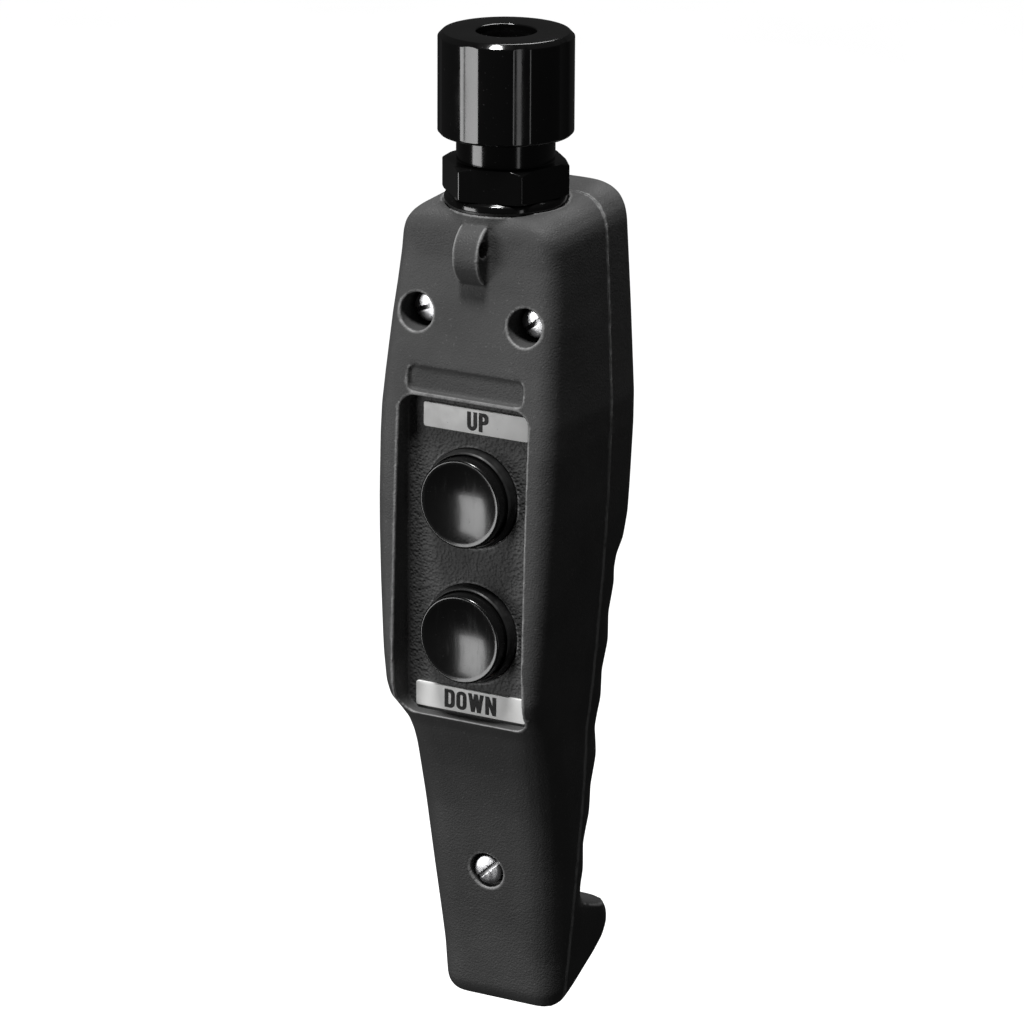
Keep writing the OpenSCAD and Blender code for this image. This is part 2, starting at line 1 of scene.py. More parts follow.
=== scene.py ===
"""Looks of the two-button pendant control station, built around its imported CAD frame.

Everything is in metres in the row's frame: the origin is the cable entry at the top of the
cord connector, +Z runs up along the cable and -Y is the button side.
"""

import math

import bmesh
import bpy
import numpy as np
from mathutils import Matrix, Quaternion, Vector


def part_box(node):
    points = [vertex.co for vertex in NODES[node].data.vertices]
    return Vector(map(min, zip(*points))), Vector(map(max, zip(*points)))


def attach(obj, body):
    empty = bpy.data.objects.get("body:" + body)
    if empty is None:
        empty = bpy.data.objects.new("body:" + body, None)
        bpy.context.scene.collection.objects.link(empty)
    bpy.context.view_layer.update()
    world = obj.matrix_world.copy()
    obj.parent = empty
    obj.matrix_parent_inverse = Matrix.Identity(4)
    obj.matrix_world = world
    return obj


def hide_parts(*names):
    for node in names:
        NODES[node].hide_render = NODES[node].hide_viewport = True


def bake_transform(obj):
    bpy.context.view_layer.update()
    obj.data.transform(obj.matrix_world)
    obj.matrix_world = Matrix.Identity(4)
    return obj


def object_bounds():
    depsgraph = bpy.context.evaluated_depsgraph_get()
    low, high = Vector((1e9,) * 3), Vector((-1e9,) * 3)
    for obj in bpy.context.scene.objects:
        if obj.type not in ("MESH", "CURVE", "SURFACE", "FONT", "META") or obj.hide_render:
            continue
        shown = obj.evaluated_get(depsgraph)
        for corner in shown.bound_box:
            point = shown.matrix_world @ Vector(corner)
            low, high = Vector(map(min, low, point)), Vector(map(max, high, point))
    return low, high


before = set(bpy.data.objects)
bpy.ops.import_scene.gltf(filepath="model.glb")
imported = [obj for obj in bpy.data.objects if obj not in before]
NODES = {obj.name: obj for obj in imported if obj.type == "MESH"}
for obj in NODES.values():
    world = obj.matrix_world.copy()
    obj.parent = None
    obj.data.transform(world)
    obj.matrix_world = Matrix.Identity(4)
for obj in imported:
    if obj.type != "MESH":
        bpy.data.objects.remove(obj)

MM = 0.001
SIDES = ("up", "down")
CAD_LOW, CAD_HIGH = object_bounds()

# Camera of the reference view
AZIMUTH = math.radians(29.9)
ELEVATION = math.radians(17.06)
ROLL = math.radians(0.29)
CAMERA_DISTANCE = 1.746
CAMERA_LENS = 210.94
CAMERA_SENSOR = 36
CAMERA_CLIP = (0.05, 60)
AIM_RIGHT = 2.3 * MM
AIM_DOWN = 3.6 * MM
AIM_ABOVE_CENTRE = 8.4 * MM

# Covers: cell of the remesh, rounding passes, fairing passes away from rims, the passes that
# even out the bend by which rims are found, the bend in 1/m above which an edge is a rim, the bend
# above which an edge is lightened (rubbed wear and a painted highlight), the further bend at which it is
# fully lightened, and the share of faces kept
COVER_CELL = 0.45 * MM
COVER_ROUNDING = 4
FAIRING = 40
RIM_EVENING = 6
RIM_BEND = 260
WEAR_AND_SHEEN_BEND = 200
WEAR_AND_SHEEN_SPAN = 300
COVER_KEPT = 0.35

# Fine shape of the cord connector, repeated from the design
FLUTES = 8
FLUTE_TURN = math.radians(-2)
FLUTE_RADIUS = 25 * MM
FLUTE_DEPTH = 0.3 * MM
FLUTE_EDGE = 0.1 * MM
HEX_TURN = math.radians(14)
HEX_ACROSS_FLATS = 33 * MM
HEX_EDGE = 0.5 * MM

# Head of a cover screw
SCREW_HEAD_R = 4.4 * MM
SCREW_HEAD_H = 3 * MM


# ---------------------------------------------------------------- mesh helpers

def add_object(name, mesh):
    """New object in the scene with this mesh or curve."""
    made = bpy.data.objects.new(name, mesh)
    bpy.context.scene.collection.objects.link(made)
    return made


def object_from(mesh, name):
    """New object from a bmesh, which is freed."""
    data = bpy.data.meshes.new(name)
    mesh.to_mesh(data)
    mesh.free()
    return add_object(name, data)


def evaluated_mesh(obj, name):
    """The object's mesh with its modifiers applied, as a new mesh."""
    graph = bpy.context.evaluated_depsgraph_get()
    graph.update()
    mesh = bpy.data.meshes.new_from_object(obj.evaluated_get(graph))
    mesh.name = name
    return mesh


def applied(obj):
    """Replaces the object's mesh by the one its modifiers make."""
    mesh = evaluated_mesh(obj, obj.name)
    obj.modifiers.clear()
    obj.data = mesh
    return obj


def smooth_shaded(obj, sharp_degrees=None):
    """Smooth shading, with edges sharper than the given angle left crisp."""
    obj.data.polygons.foreach_set("use_smooth", [True] * len(obj.data.polygons))
    if sharp_degrees is not None:
        obj.data.set_sharp_from_angle(angle=math.radians(sharp_degrees))
    return obj


def rounded(corners, steps=5):
    """Closed outline in a plane with its corners rounded. A corner is (u, v, radius)."""
    outline = []
    count = len(corners)
    for i, (u, v, radius) in enumerate(corners):
        here = Vector((u, v))
        before = Vector(corners[i - 1][:2]) - here
        after = Vector(corners[(i + 1) % count][:2]) - here
        if radius <= 0:
            outline.append((u, v))
            continue
        half = before.angle(after) / 2
        reach = min(radius / math.tan(half), before.length * 0.49, after.length * 0.49)
        start = here + before.normalized() * reach
        end = here + after.normalized() * reach
        for k in range(steps + 1):
            t = k / steps
            point = start * (1 - t) ** 2 + here * 2 * t * (1 - t) + end * t ** 2
            outline.append((point.x, point.y))
    return outline


def middle_axis(low, high):
    """Where the Y axis of a round node with these corners crosses y = 0."""
    return Vector(((low.x + high.x) / 2, 0, (low.z + high.z) / 2))


def turned(name, outline, centre, axis, sides, shape=None):
    """Body turned about Z or Y from a closed outline of (radius, height) points.

    An outline point at radius 0 becomes a pole. shape(angle, radius, height) may change a
    radius, for flutes and flats.
    """
    mesh = bmesh.new()
    rings = []
    for radius, height in outline:
        ring = []
        for k in range(sides):
            if radius == 0 and ring:
                ring.append(ring[0])
                continue
            angle = 2 * math.pi * k / sides
            r = shape(angle, radius, height) if shape else radius
            if axis == "Z":
                offset = Vector((r * math.cos(angle), r * math.sin(angle), height))
            else:
                offset = Vector((r * math.sin(angle), height, r * math.cos(angle)))
            ring.append(mesh.verts.new(centre + offset))
        rings.append(ring)
    for i in range(len(rings)):
        ring, following = rings[i], rings[(i + 1) % len(rings)]
        for k in range(sides):
            n = (k + 1) % sides
            corners = []
            for vertex in (ring[k], ring[n], following[n], following[k]):
                if vertex not in corners:
                    corners.append(vertex)
            if len(corners) > 2:
                mesh.faces.new(corners)
    bmesh.ops.recalc_face_normals(mesh, faces=mesh.faces)
    return smooth_shaded(object_from(mesh, name), 40)


def close_tube(mesh, rings):
    """Faces between rings that follow each other, and one over each end."""
    for ring, following in zip(rings, rings[1:]):
        for k in range(len(ring)):
            n = (k + 1) % len(ring)
            mesh.faces.new((ring[k], ring[n], following[n], following[k]))
    mesh.faces.new(rings[0])
    mesh.faces.new(rings[-1])
    bmesh.ops.recalc_face_normals(mesh, faces=mesh.faces)


def plate(name, outline, y_front, y_back, edge):
    """Flat plate in XZ with a rounded front edge, its thickness along Y."""
    mesh = bmesh.new()
    middle = Vector((sum(p[0] for p in outline), sum(p[1] for p in outline))) / len(outline)
    levels = [(y_back, 0.0)]
    edge_steps = 4
    for k in range(edge_steps + 1):
        angle = math.pi / 2 * k / edge_steps
        levels.append((y_front + edge * (1 - math.sin(angle)), edge * (1 - math.cos(angle))))
    rings = []
    for y, inset in levels:
        ring = []
        for u, v in outline:
            outward = Vector((u, v)) - middle
            du = math.copysign(min(inset, abs(outward.x)), outward.x)
            dv = math.copysign(min(inset, abs(outward.y)), outward.y)
            ring.append(mesh.verts.new((u - du, y, v - dv)))
        rings.append(ring)
    close_tube(mesh, rings)
    return smooth_shaded(object_from(mesh, name), 35)


def curvature(mesh, passes=3):
    """Place, normal and bend of each vertex.

    The bend is in 1/m, positive on outer edges, and evened out over neighbours in each pass.
    """
    count = len(mesh.vertices)
    place = np.empty(count * 3)
    mesh.vertices.foreach_get("co", place)
    place = place.reshape(-1, 3)
    normal = np.empty(count * 3)
    mesh.vertices.foreach_get("normal", normal)
    normal = normal.reshape(-1, 3)
    edges = np.empty(len(mesh.edges) * 2, dtype=np.int64)
    mesh.edges.foreach_get("vertices", edges)
    a, b = edges.reshape(-1, 2).T
    step = place[b] - place[a]
    length = np.maximum((step ** 2).sum(1), 1e-12)
    degree = np.maximum(np.bincount(a, minlength=count) + np.bincount(b, minlength=count), 1)
    bend = np.bincount(a, -2 * (step * normal[a]).sum(1) / length, minlength=count)
    bend += np.bincount(b, 2 * (step * normal[b]).sum(1) / length, minlength=count)
    bend /= degree
    for _ in range(passes):
        around = np.bincount(a, bend[b], minlength=count) + np.bincount(b, bend[a], minlength=count)
        bend = 0.5 * bend + 0.5 * around / degree
    return place, normal, bend


def vertex_mask(mesh, name, values):
    """Stores a value from 0 to 1 at each vertex for a material to read."""
    attribute = mesh.attributes.new(name, "FLOAT", "POINT")
    attribute.data.foreach_set("value", np.clip(values, 0, 1).astype(np.float32))


# ------------------------------------------------------------------- materials

class Look:
    """A Principled material with the nodes that drive its colour, roughness and bump."""

    def __init__(self, name, colour, roughness, **constants):
        self.material = bpy.data.materials.new(name)
        self.material.use_nodes = True
        self.material.diffuse_color = (*colour, 1)
        self.tree = self.material.node_tree
        self.shader = self.tree.nodes["Principled BSDF"]
        self.shader.inputs["Base Color"].default_value = (*colour, 1)
        self.shader.inputs["Roughness"].default_value = roughness
        for socket, value in constants.items():
            self.shader.inputs[socket.replace("_", " ")].default_value = value
        self.place = self.add("ShaderNodeTexCoord").outputs["Object"]
        self.normal = None

    def add(self, kind, **settings):
        """New node with these settings."""
        made = self.tree.nodes.new(kind)
        for key, value in settings.items():
            setattr(made, key, value)
        return made

    def feed(self, socket, value):
        """Links a node's output to a socket, or sets a constant on it."""
        if isinstance(value, bpy.types.NodeSocket):
            self.tree.links.new(value, socket)
        else:
            socket.default_value = value

    def noise(self, size, detail=2.0, stretch=(1, 1, 1), distortion=0.0):
        """Noise from 0 to 1 with features of about this size in metres."""
        mapping = self.add("ShaderNodeMapping")
        self.feed(mapping.inputs["Vector"], self.place)
        mapping.inputs["Scale"].default_value = [s / size for s in stretch]
        made = self.add("ShaderNodeTexNoise")
        self.feed(made.inputs["Vector"], mapping.outputs["Vector"])
        made.inputs["Scale"].default_value = 1.0
        made.inputs["Detail"].default_value = detail
        made.inputs["Distortion"].default_value = distortion
        return made.outputs["Fac"]

    def cells(self, size):
        """Distance inside smooth Voronoi cells of about this size in metres."""
        made = self.add("ShaderNodeTexVoronoi", feature="SMOOTH_F1")
        self.feed(made.inputs["Vector"], self.place)
        made.inputs["Scale"].default_value = 1 / size
        return made.outputs["Distance"]

    def remap(self, value, low, high, to_low=0.0, to_high=1.0):
        """The value moved from one range to another and kept inside it."""
        made = self.add("ShaderNodeMapRange")
        self.feed(made.inputs["Value"], value)
        made.inputs["From Min"].default_value = low
        made.inputs["From Max"].default_value = high
        made.inputs["To Min"].default_value = to_low
        made.inputs["To Max"].default_value = to_high
        return made.outputs["Result"]

    def math(self, operation, a, b):
        made = self.add("ShaderNodeMath", operation=operation)
        self.feed(made.inputs[0], a)
        self.feed(made.inputs[1], b)
        return made.outputs["Value"]

    def mask(self, name):
        """A value stored at the vertices by vertex_mask."""
        made = self.add("ShaderNodeAttribute", attribute_name=name)
        return made.outputs["Fac"]

    def mix(self, share, a, b):
        """Colour between a and b."""
        made = self.add("ShaderNodeMix", data_type="RGBA")
        self.feed(made.inputs["Factor"], share)
        self.feed(made.inputs["A"], a if isinstance(a, bpy.types.NodeSocket) else (*a, 1))
        self.feed(made.inputs["B"], b if isinstance(b, bpy.types.NodeSocket) else (*b, 1))
        return made.outputs["Result"]

    def bump(self, height, depth):
        """Adds a bump this deep in metres on top of those before it."""
        made = self.add("ShaderNodeBump")
        made.inputs["Strength"].default_value = 1.0
        made.inputs["Distance"].default_value = depth
        self.feed(made.inputs["Height"], height)
        if self.normal:
            self.feed(made.inputs["Normal"], self.normal)
        self.normal = made.outputs["Normal"]
        self.feed(self.shader.inputs["Normal"], self.normal)

    def colour(self, value):
        self.feed(self.shader.inputs["Base Color"], value)

    def roughness(self, value):
        self.feed(self.shader.inputs["Roughness"], value)


def grey(level):
    """Neutral colour of this brightness."""
    return (level, level, level)


def cover_look():
    """Charcoal moulding with a fine leathery grain, a pebbled panel, and rubbed edges lightened with a
    painted highlight.
    """
    look = Look("cover_plastic", grey(0.06), 0.6, Specular_IOR_Level=0.35)
    edge = look.mask("edge")
    panel = look.mask("panel")
    cloud = look.noise(22 * MM, 4)
    grain = look.noise(0.55 * MM, 3)
    pebbles = look.cells(0.8 * MM)
    specks = look.remap(look.noise(0.8 * MM, 1), 0.68, 0.74)
    base = look.mix(look.remap(cloud, 0.3, 0.7), grey(0.056), grey(0.076))
    dusty = look.mix(look.math("MULTIPLY", specks, 0.35), base, grey(0.17))
    # Convex rims are lightened towards grey: partly rubbed wear, partly a painted highlight where light
    # would catch the rims
    rub_and_sheen = look.math("MULTIPLY", edge, look.remap(look.noise(3 * MM, 4), 0.1, 0.5))
    worn_and_lit = look.mix(look.math("MULTIPLY", rub_and_sheen, 0.8), dusty, grey(0.34))
    look.colour(worn_and_lit)
    patchy = look.remap(look.noise(9 * MM, 5), 0.3, 0.7, 0.52, 0.68)
    look.roughness(look.math("SUBTRACT", patchy, look.math("MULTIPLY", rub_and_sheen, 0.14)))
    look.bump(look.math("MULTIPLY", grain, look.remap(panel, 0, 1, 1, 0.4)), 0.2 * MM)
    look.bump(look.math("MULTIPLY", pebbles, panel), 0.36 * MM)
    look.bump(look.noise(7 * MM, 2), 0.12 * MM)
    return look.material


def gloss_look(name, colour, roughness, scratch=0.5):
    """Polished black plastic with handling marks and a little dust."""
    look = Look(name, grey(colour), roughness, Specular_IOR_Level=0.5,
                Coat_Weight=0.15, Coat_Roughness=0.06)
    marks = look.noise(1.6 * MM, 5, (1, 1, 0.12), 0.4)
    smears = look.noise(12 * MM, 3)
    dust = look.remap(look.noise(0.7 * MM, 1), 0.74, 0.79)
    look.colour(look.mix(look.math("MULTIPLY", dust, 0.25), grey(colour), grey(0.12)))
    scuffed = look.remap(marks, 0.55, 0.75, 0, 0.12 * scratch)
    smeared = look.remap(smears, 0.3, 0.7, roughness, roughness + 0.08)
    look.roughness(look.math("ADD", scuffed, smeared))
    look.bump(look.noise(2.5 * MM, 3), 0.01 * MM)
    look.bump(look.math("MULTIPLY", marks, scratch), 0.004 * MM)
    return look.material


def rubber_look(name, colour):
    """Dull black rubber, slightly bloomed."""
    look = Look(name, grey(colour), 0.5, Specular_IOR_Level=0.4)
    bloom = look.remap(look.noise(4 * MM, 4), 0.3, 0.7)
    look.colour(look.mix(bloom, grey(colour * 0.8), grey(colour * 1.5)))
    look.roughness(look.remap(look.noise(2 * MM, 4), 0.3, 0.7, 0.38, 0.6))
    look.bump(look.noise(0.35 * MM, 3), 0.02 * MM)
    return look.material


def metal_look(name, colour, roughness, dark, stretch=(1, 1, 1)):
    """Plated or machined metal with tool marks and dull patches."""
    look = Look(name, colour, roughness, Metallic=1.0)
    marks = look.noise(0.9 * MM, 5, stretch)
    patches = look.remap(look.noise(2.4 * MM, 4), 0.4, 0.75)
    look.colour(look.mix(look.math("MULTIPLY", patches, 0.5), colour, dark))
    look.roughness(look.remap(marks, 0.3, 0.7, roughness * 0.75, roughness * 1.35))
    look.bump(marks, 0.012 * MM)
    return look.material


def label_look():
    """White engraved laminate, slightly yellowed and scuffed."""
    look = Look("label", grey(0.8), 0.35, Specular_IOR_Level=0.5)
    stain = look.remap(look.noise(9 * MM, 4), 0.35, 0.75)
    base = look.mix(stain, (0.92, 0.92, 0.91), (0.8, 0.8, 0.79))
    nicks = look.remap(look.noise(1.2 * MM, 5), 0.66, 0.74)
    look.colour(look.mix(look.math("MULTIPLY", nicks, 0.4), base, grey(0.4)))
    look.roughness(look.remap(look.noise(3 * MM, 3), 0.3, 0.7, 0.28, 0.45))
    look.bump(look.noise(1.5 * MM, 4), 0.01 * MM)
    return look.material


def ink_look():
    """Matt black filling of the labels' letters."""
    look = Look("label_letters", grey(0.012), 0.4, Specular_IOR_Level=0.15)
    look.colour(look.mix(look.remap(look.noise(0.9 * MM, 4), 0.4, 0.75), grey(0.008), grey(0.03)))
    look.roughness(look.remap(look.noise(1.2 * MM, 3), 0.3, 0.7, 0.3, 0.5))
    look.bump(look.noise(0.5 * MM, 3), 0.008 * MM)
    return look.material


def phenolic_look():
    """Brown moulded phenolic with a mottled filler."""
    look = Look("phenolic", (0.1, 0.045, 0.025), 0.45)
    flecks = look.remap(look.noise(1.1 * MM, 5), 0.4, 0.65)
    look.colour(look.mix(flecks, (0.07, 0.03, 0.018), (0.16, 0.075, 0.04)))
    look.roughness(look.remap(look.noise(3 * MM, 4), 0.3, 0.7, 0.35, 0.55))
    look.bump(look.noise(0.5 * MM, 3), 0.015 * MM)
    return look.material


def floor_look():
    """Pale floor with a faint unevenness."""
    look = Look("studio_floor", grey(0.88), 0.85, Specular_IOR_Level=0.1)
    look.colour(look.mix(look.noise(120 * MM, 3), grey(0.86), grey(0.9)))
    look.bump(look.noise(4 * MM, 3), 0.05 * MM)
    return look.material


COVER = cover_look()
GLAND = gloss_look("gland_plastic", 0.004, 0.08, 0.3)
BUTTON = gloss_look("button_plastic", 0.005, 0.16, 0.9)
BOOT = rubber_look("boot_rubber", 0.012)
RUBBER = rubber_look("rubber", 0.02)
STEEL = metal_look("steel", (0.62, 0.62, 0.63), 0.3, (0.42, 0.42, 0.43), (1, 1, 0.15))
BRASS = metal_look("brass", (0.72, 0.53, 0.24), 0.3, (0.4, 0.27, 0.1))
COPPER = metal_look("copper", (0.78, 0.42, 0.27), 0.3, (0.42, 0.2, 0.12))
LABEL = label_look()
INK = ink_look()
PHENOLIC = phenolic_look()


def dress(obj, material, body, slot, *replaced):
    """Gives a new piece its material and its body if it rides on one, and hides the nodes it replaces."""
    obj.data.materials.clear()
    obj.data.materials.append(material)
    if body:
        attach(obj, body)
    if replaced:
        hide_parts(*replaced)
    return obj


# ---------------------------------------------------------------------- covers

def cover(node):
    """The moulded shell of a cover: the CAD shell as one fine skin with softened edges.

    Away from the rims it is faired further, which takes out the design's facets.
    """
    mesh = NODES[node].data.copy()
    mesh.materials.clear()
    made = add_object(node + "_moulding", mesh)
    remesh = made.modifiers.new("skin", "REMESH")
    remesh.mode = "VOXEL"
    remesh.voxel_size = COVER_CELL
    smooth = made.modifiers.new("soften", "SMOOTH")
    smooth.factor = 0.5
    smooth.iterations = COVER_ROUNDING
    applied(made)
    bend = np.abs(curvature(made.data, RIM_EVENING)[2])
    fair = made.vertex_groups.new(name="fair")
    fair.add(np.flatnonzero(bend < RIM_BEND).tolist(), 1.0, "REPLACE")
    fairing = made.modifiers.new("fairing", "SMOOTH")
    fairing.factor = 0.5
    fairing.iterations = FAIRING
    fairing.vertex_group = "fair"
    thin = made.modifiers.new("thin", "DECIMATE")
    thin.ratio = COVER_KEPT
    applied(made)
    smooth_shaded(made)
    place, normal, bend = curvature(made.data)
    # The edge mask lightens convex rims in the cover material: rubbed wear plus a painted highlight
    vertex_mask(made.data, "edge", (bend - WEAR_AND_SHEEN_BEND) / WEAR_AND_SHEEN_SPAN)
    low, high = panel_box()
    facing_front = normal[:, 1] < -0.9
    inside = ((place > low) & (place < high)).all(axis=1) & facing_front
    vertex_mask(made.data, "panel", inside.astype(float))
    return dress(made, COVER, "housing", "cover_plastic", node)


def panel_box():
    """Corners of the space in which the button panel's floor lies."""
    top_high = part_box("up_label")[1]
    foot_low, foot_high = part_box("down_label")
    margin = 3 * MM
    low = (foot_low.x - margin, foot_high.y - margin / 3, foot_low.z - margin)
    high = (foot_high.x + margin, foot_high.y + margin / 3, top_high.z + margin)
    return np.array(low), np.array(high)


# -------------------------------------------------------------- cord connector

def softer(a, b, blend):
    """The smaller of two lengths, rounded off where they meet."""
    h = max(blend - abs(a - b), 0) / blend
    return min(a, b) - h * h * blend / 4


def fluted(outer_radius):
    """Radius change that cuts the nut's concave flutes."""
    centre = outer_radius - FLUTE_DEPTH + FLUTE_RADIUS
    pitch = 2 * math.pi / FLUTES
    fluted_skin = 2 * MM

    def shape(angle, radius, height):
        if radius < outer_radius - fluted_skin:
            return radius
        off = (angle - FLUTE_TURN + pitch / 2) % pitch - pitch / 2
        across = centre * math.sin(off)
        if abs(across) >= FLUTE_RADIUS:
            return radius
        reach = centre * math.cos(off) - math.sqrt(FLUTE_RADIUS ** 2 - across ** 2)
        return softer(radius, reach, FLUTE_EDGE)

    return shape


def hexagonal(bottom, top, chamfer):
    """Radius change that turns the body between two levels into a chamfered hexagon."""
    flat = HEX_ACROSS_FLATS / 2
    least_radius = HEX_ACROSS_FLATS * 0.45
    hair = 1e-6

    def shape(angle, radius, height):
        if not bottom - hair <= height <= top + hair or radius < least_radius:
            return radius
        off = (angle - HEX_TURN) % (math.pi / 3) - math.pi / 6
        this_flat = flat / math.cos(off)
        next_flat = flat / math.cos(math.pi / 3 - abs(off))
        reach = softer(this_flat, next_flat, HEX_EDGE)
        return softer(radius, reach, chamfer)

    return shape


def gland_nut():
    """Compression nut with shallow flutes and the cable's entry through its top."""
    low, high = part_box("gland_nut")
    outer = 19.6 * MM
    entry = 8.7 * MM
    neck = 14.4 * MM
    lip = 4 * MM
    top_chamfer = 1.4 * MM
    foot_chamfer = 0.8 * MM
    sides = FLUTES * 40
    top, bottom = high.z, low.z
    outline = rounded([
        (entry, top, 0.5 * MM), (outer - top_chamfer, top, 0.5 * MM),
        (outer, top - top_chamfer, 0.6 * MM), (outer, bottom + foot_chamfer, 0.5 * MM),
        (outer - foot_chamfer, bottom, 0.3 * MM), (neck, bottom, 0.2 * MM),
        (neck, top - lip, 0), (entry, top - lip, 0.3 * MM),
    ])
    made = turned("gland_nut_fluted", outline, Vector((0, 0, 0)), "Z", sides, fluted(outer))
    return dress(made, GLAND, "connector_nut", "gland_plastic", "gland_nut")


def finer(outline, least_radius, gap):
    """The outline with points about a gap apart on its stretches outside the radius."""
    fine = []
    for here, following in zip(outline, outline[1:] + outline[:1]):
        fine.append(here)
        if min(here[0], following[0]) > least_radius:
            steps = int(math.dist(here, following) // gap)
            for k in range(1, steps):
                t = k / steps
                fine.append((here[0] * (1 - t) + following[0] * t, here[1] * (1 - t) + following[1] * t))
    return fine


def gland_body():
    """Connector body: neck, chamfered hexagon, flange and the spigot in the housing."""
    low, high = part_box("gland_body")
    hex_top = -37.3 * MM
    flange_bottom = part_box("gland_sealing_ring")[1].z
    hex_bottom = flange_bottom + 2.7 * MM
    neck = 14.25 * MM
    pocket = 11 * MM
    bore = 8.4 * MM
    spigot = 10.6 * MM
    flange = 17.9 * MM
    pocket_bottom = -23 * MM
    chamfer_start = 17.4 * MM
    chamfer_drop = 1.1 * MM
    chamfer_blend = 0.3 * MM
    corner = 19.2 * MM
    under_hex = 16.4 * MM
    outline = rounded([
        (pocket, high.z, 0.2 * MM), (neck, high.z, 0.3 * MM), (neck, hex_top, 0.3 * MM),
        (chamfer_start, hex_top, 0), (corner, hex_top - chamfer_drop, 0),
        (corner, hex_bottom + 0.5 * MM, 0), (corner - 0.9 * MM, hex_bottom, 0),
        (under_hex, hex_bottom, 0.1 * MM), (flange - 0.25 * MM, hex_bottom - 0.7 * MM, 1.2 * MM),
        (flange, flange_bottom, 0.5 * MM), (spigot, flange_bottom, 0.1 * MM),
        (spigot, low.z, 0.4 * MM), (bore, low.z, 0.4 * MM), (bore, pocket_bottom, 0.2 * MM),
        (pocket, pocket_bottom, 0.2 * MM),
    ])
    fine = finer(outline, 15.5 * MM, 0.35 * MM)
    shape = hexagonal(hex_bottom, hex_top, chamfer_blend)
    made = turned("gland_body_hexagon", fine, Vector((0, 0, 0)), "Z", 360, shape)
    return dress(made, GLAND, "housing", "gland_plastic", "gland_body")


# --------------------------------------------------------------------- buttons

def button_cap(side):
    """Push button with a dished face, a rolled rim and a hollow back."""
    node = side + "_button_cap"
    low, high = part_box(node)
    radius = (high.x - low.x) / 2
    rim, back = low.y, high.y
    dish = 2.2 * MM
    inner = 11.3 * MM
    pocket = -21.5 * MM
    roll = 0.75 * MM
    chamfer = 0.2 * MM
    dish_steps, roll_steps = 12, 8
    crest = radius - roll
    outline = []
    for k in range(dish_steps + 1):
        r = crest * k / dish_steps
        outline.append((r, rim + dish * (1 - (r / crest) ** 2)))
    for k in range(1, roll_steps + 1):
        angle = math.pi / 2 * k / roll_steps
        outline.append((crest + roll * math.sin(angle), rim + roll * (1 - math.cos(angle))))
    outline += [(radius, rim + 4 * MM), (radius, back - chamfer), (radius - chamfer, back)]
    outline += [(inner, back), (inner, pocket), (0, pocket)]
    centre = middle_axis(low, high)
    made = turned(side + "_button_dished", outline, centre, "Y", 128)
    return dress(made, BUTTON, side + "_button", "button_plastic", node)


def button_boot(side):
    """Rubber collar round a button, with a rolled lip."""
    node = side + "_button_boot"
    low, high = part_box(node)
    outer = (high.x - low.x) / 2
    inner = 13.65 * MM
    front, back = low.y, high.y
    outline = rounded([
        (inner, back, 0), (inner, front + 0.1 * MM, 0.15 * MM), (inner + 0.35 * MM, front, 0.2 * MM),
        (inner + 0.75 * MM, front + 0.5 * MM, 0.4 * MM), (outer, front + 2.1 * MM, 0.8 * MM),
        (outer, back, 0),
    ])
    centre = middle_axis(low, high)
    made = turned(side + "_boot_collar", outline, centre, "Y", 128)
    return dress(made, BOOT, "housing", "boot_rubber", node)


def return_spring(side):
    """Coil spring of a button, built in the place of its CAD node."""
    node = side + "_return_spring"
    low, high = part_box(node)
    wire = 0.65 * MM
    turns, steps, around = 5, 28, 12
    coil = (high.x - low.x) / 2 - wire
    centre = middle_axis(low, high)
    front, back = low.y + wire, high.y - wire
    mesh = bmesh.new()
    rings = []
    for i in range(turns * steps + 1):
        turn = 2 * math.pi * i / steps
        y = front + (back - front) * i / (turns * steps)
        ring = []
        for k in range(around):
            angle = 2 * math.pi * k / around
            r = coil + wire * math.cos(angle)
            offset = Vector((r * math.cos(turn), y + wire * math.sin(angle), r * math.sin(turn)))
            ring.append(mesh.verts.new(centre + offset))
        rings.append(ring)
    close_tube(mesh, rings)
    made = smooth_shaded(object_from(mesh, side + "_spring_coil"), 50)
    dress(made, STEEL, None, "steel", node)
    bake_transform(made)


# ---------------------------------------------------------------------- screws

def slotted_screw(name, centre, length, angle):
    """Screw with a domed slotted head. centre is the middle of the head's seat."""
    head, height, shank = SCREW_HEAD_R, SCREW_HEAD_H, 2 * MM
    slot_width, slot_depth = 1.3 * MM, 1.4 * MM
    thread_pitch, thread_depth, thread_start = 0.7 * MM, 0.25 * MM, 1 * MM
    plain_length = 1.5 * MM
    dome, dome_steps = 0.25 * MM, 5
    outline = []
    for k in range(dome_steps + 1):
        r = (head - 0.5 * MM) * k / dome_steps
        outline.append((r, -height + dome * (r / head) ** 2))
    outline += [(head - 0.15 * MM, -height + 0.4 * MM), (head, -height + 0.75 * MM)]
    outline += [(head, 0), (shank, 0)]
    threads = int((length - plain_length) / thread_pitch)
    for k in range(threads):
        y = thread_start + k * thread_pitch
        outline += [(shank - thread_depth, y), (shank, y + thread_pitch / 2)]
    outline += [(shank - 0.4 * MM, length), (0, length)]
    made = turned(name, outline, Vector((0, 0, 0)), "Y", 72)
    slot = bmesh.new()
    bmesh.ops.create_cube(slot, size=1.0)
    for v in slot.verts:
        v.co = Vector((v.co.x * head * 3, v.co.y * slot_depth * 2 - height, v.co.z * slot_width))
    cutter = object_from(slot, name + "_slot")
    cut = made.modifiers.new("slot", "BOOLEAN")
    cut.operation = "DIFFERENCE"
    cut.solver = "EXACT"
    cut.object = cutter
    edge = made.modifiers.new("edge", "BEVEL")
    edge.width = 0.12 * MM
    edge.segments = 2
    edge.angle_limit = math.radians(55)
    applied(made)
    bpy.data.objects.remove(cutter)
    made.data.transform(Quaternion((0, 1, 0), angle).to_matrix().to_4x4())
    made.data.transform(Matrix.Translation(centre))
    return smooth_shaded(made, 35)


